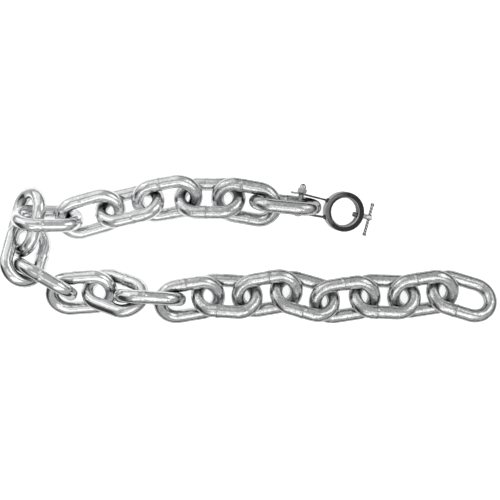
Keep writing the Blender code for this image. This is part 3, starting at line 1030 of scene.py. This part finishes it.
# twisted rod between two turned knobs: the radius falls and rises with the strands' winding
def addSlidingBar(finish):
    look = slidingBar
    low, high, edge, foot = look["low"], look["high"], look["knobEdge"], look["knobLong"]
    knob, ease = look["knobRadius"], look["knobRadius"] - look["knobEase"]
    bend = np.linspace(0, quarterTurn, look["edgeSteps"])
    rounding = edge * (1 - np.cos(bend))
    drop = edge * (1 - np.sin(bend))
    y = np.concatenate((low + rounding, (low + foot - edge, low + foot - look["knobFoot"]),
                        np.linspace(low + foot, high - foot, look["sections"]),
                        (high - foot + look["knobFoot"], high - foot + edge), (high - rounding)[::-1]))
    reach = np.concatenate((knob - drop, (knob, ease), np.full(look["sections"], look["radius"]),
                            (ease, knob), (knob - drop)[::-1]))
    turn = turnsRound(look["around"])
    y, reach = y[:, None], reach[:, None]
    wave = 0.5 - 0.5 * np.cos(look["strands"] * (turn - fullTurn * y / look["twist"]))
    fromKnob = np.minimum(y - low - foot, high - foot - y)
    inRod = (reach == look["radius"]) * np.clip(fromKnob / look["twistFade"], 0, 1)
    radius = reach - look["twistDeep"] * wave * inRod
    lean = math.radians(look["yaw"])
    aside = radius * np.cos(turn)
    grid = gridOf(clampScrew["crossAt"] + aside * math.cos(lean) + y * math.sin(lean),
                  clampScrew["aside"] + y * math.cos(lean) - aside * math.sin(lean),
                  look["drop"] + radius * np.sin(turn))
    mesh = gridMesh("handle", onCollar(grid), look["sharp"], flipped=True)
    # painted shade in the twist's hollows; the knobs are darker in their own colour
    groove = np.clip(look["grooveGain"] * wave - look["grooveLess"], 0, 1) * inRod
    knobs = look["knobShade"] * (reach > look["radius"])
    addAttribute(mesh, "shadeAndKnobShare", "FLOAT", groove + knobs)
    addPiece("handle", mesh, finish, "sliding_bar", ["sliding_bar"])


def addCollar():
    dark, arm, plated = darkFinish(), armFinish(), plateFinish()
    addRing(dark)
    addArm("arm_upper", 1, arm, "fork_arm_upper")
    addArm("arm_lower", -1, arm, "fork_arm_lower")
    for name, side in (("upper", 1), ("lower", -1)):
        addBead("bead_outer_" + name, side, 1, arm)
        addBead("bead_inner_" + name, side, -1, arm)
    addBolt(plated)
    addNut(plated)
    addScrew(plated)
    addSlidingBar(plated)
    print("collar, fork and clamp built")


addLinks(zincFinish())
addCollar()


# Floor, light and camera

studio = {
    "floorHalf": 30.0,
    "floorSharp": 30.0,
    "floorPale": (0.86, 0.86, 0.86, 1.0),
    "floorCloud": (0.82, 0.82, 0.82, 1.0),
    "cloudScale": 9.0,
    "cloudShare": 0.15,
    "floorRough": 0.9,
    "floorGlow": 0.78,
    "upright": 0.99,           # upward part of the way a panel faces, from which it is squared to Y
    "photoWidth": 500,
    "focalPixels": 1100.0,
    "sensor": 36.0,
    "cameraAt": (-0.0014, -0.0006, 2.004),
}

# what a mirror shows of the room where no panel stands; heights are sines of the angle above level
surround = {
    "level": 0.47,
    "low": 0.74,
    "lowHeights": (-0.30, -0.46),       # where the pale band begins, and is full
    "ground": 0.50,
    "groundHeights": (-0.60, -0.85),
    "horizon": 0.03,
    "horizonAt": -0.12,
    "horizonHalf": 0.24,
    "horizonFlat": 0.10,
    "gloom": 0.05,                      # low down on the left
    "gloomAt": 200.0,                   # degrees round from X
    "gloomEdge": (0.70, 0.92),          # cosines of the angle from there
    "gloomHeights": (-0.25, -0.10),
}

# where each soft panel stands, what it is aimed at, its width and height, and its brightness in
# a mirror; the wash lights the floor from overhead and isn't mirrored
panels = {
    "frontPanel": ((0.0, -1.15, 1.60), (-0.75, 0.0, 0.0), 2.6, 0.98, 0.93),
    "overheadPanel": ((-0.15, -0.3, 2.7), (-0.1, -0.1, 0.0), 1.8, 1.2, 0.50),
    "rightPanel": ((1.45, 0.8, 1.35), (-0.3, 0.0, 0.0), 1.3, 1.25, 0.98),
    "backWall": ((-0.75, 0.95, 0.75), (-0.6, 0.0, 0.65), 1.3, 1.5, 0.44),
    "leftWall": ((-1.3, 0.65, 0.8), (0.0, 0.65, 0.7), 1.2, 1.6, 0.50),
    "floorCard": ((-0.48, 0.4, 0.0003), (-0.48, 0.4, 1.0), 0.86, 1.0, 0.44),
    "floorWash": ((0.0, 0.0, 3.2), (0.0, 0.0, 0.0), 3.4, 3.4, 1.6),
}


# wide flat floor that glows a little, and that the metal doesn't mirror
def addFloor():
    half = studio["floorHalf"]
    corners = [(-half, -half, 0.0), (half, -half, 0.0), (half, half, 0.0), (-half, half, 0.0)]
    floor = bpy.data.objects.new("floor", smoothMesh("floor", corners, [(0, 1, 2, 3)],
                                                     studio["floorSharp"]))
    bpy.context.scene.collection.objects.link(floor)
    paint = Paint(bpy.data.materials.new("paleFloor"))
    cloud = paint.noise(paint.place(), studio["cloudScale"], detail=3.0, roughness=0.5)
    shade = paint.mixed(cloud * studio["cloudShare"], studio["floorPale"], studio["floorCloud"])
    floor.data.materials.append(paint.finish(Base_Color=shade, Roughness=studio["floorRough"],
                                             Emission_Color=shade, Emission_Strength=studio["floorGlow"]))
    floor.visible_glossy = False


# soft panel aimed at a place; its power follows from how bright a mirror shows it
def addPanel(name, place, aim, width, height, brightness):
    light = bpy.data.lights.new(name, "AREA")
    light.shape = "RECTANGLE"
    light.size = width
    light.size_y = height
    light.energy = brightness * math.pi * width * height
    panel = bpy.data.objects.new(name, light)
    bpy.context.scene.collection.objects.link(panel)
    ray = np.array(aim, dtype=float) - np.array(place, dtype=float)
    back = -ray / np.linalg.norm(ray)
    upright = abs(back[2]) > studio["upright"]
    side = np.cross((0.0, 1.0, 0.0) if upright else up, back)
    side /= np.linalg.norm(side)
    rows = np.array((side, np.cross(back, side), back))
    panel.matrix_world = Matrix.Translation(place) @ Matrix(rows.T.tolist()).to_4x4()
    panel.visible_glossy = name != "floorWash"


# grey room: a dark band about the horizon, a pale one below it, grey ground, and a dark corner
def addSurround():
    look = surround
    paint = Paint(bpy.data.worlds.new("surround"), "Background")
    x, y, z = paint.parts(paint.place("Generated"))
    level = look["level"] + paint.between(z, *look["lowHeights"]) * (look["low"] - look["level"])
    level = level + paint.between(z, *look["groundHeights"]) * (look["ground"] - look["low"])
    dip = paint.between(abs(z - look["horizonAt"]), look["horizonHalf"], look["horizonFlat"])
    level = level - dip * (look["level"] - look["horizon"])
    turn = math.radians(look["gloomAt"])
    gloom = paint.between(x * math.cos(turn) + y * math.sin(turn), *look["gloomEdge"])
    gloom = gloom * paint.between(z, *look["gloomHeights"])
    level = level - gloom * (level - look["gloom"])
    bpy.context.scene.world = paint.finish(Color=level)


def addCamera():
    lens = bpy.data.cameras.new("camera")
    lens.sensor_width = studio["sensor"]
    lens.lens = studio["focalPixels"] * studio["sensor"] / studio["photoWidth"]
    camera = bpy.data.objects.new("camera", lens)
    bpy.context.scene.collection.objects.link(camera)
    camera.location = studio["cameraAt"]
    bpy.context.scene.camera = camera
    bpy.context.scene.view_settings.view_transform = "Standard"


def addStudio():
    addFloor()
    for name, values in panels.items():
        addPanel(name, *values)
    addSurround()
    addCamera()
    print("floor, lights and camera set")


addStudio()
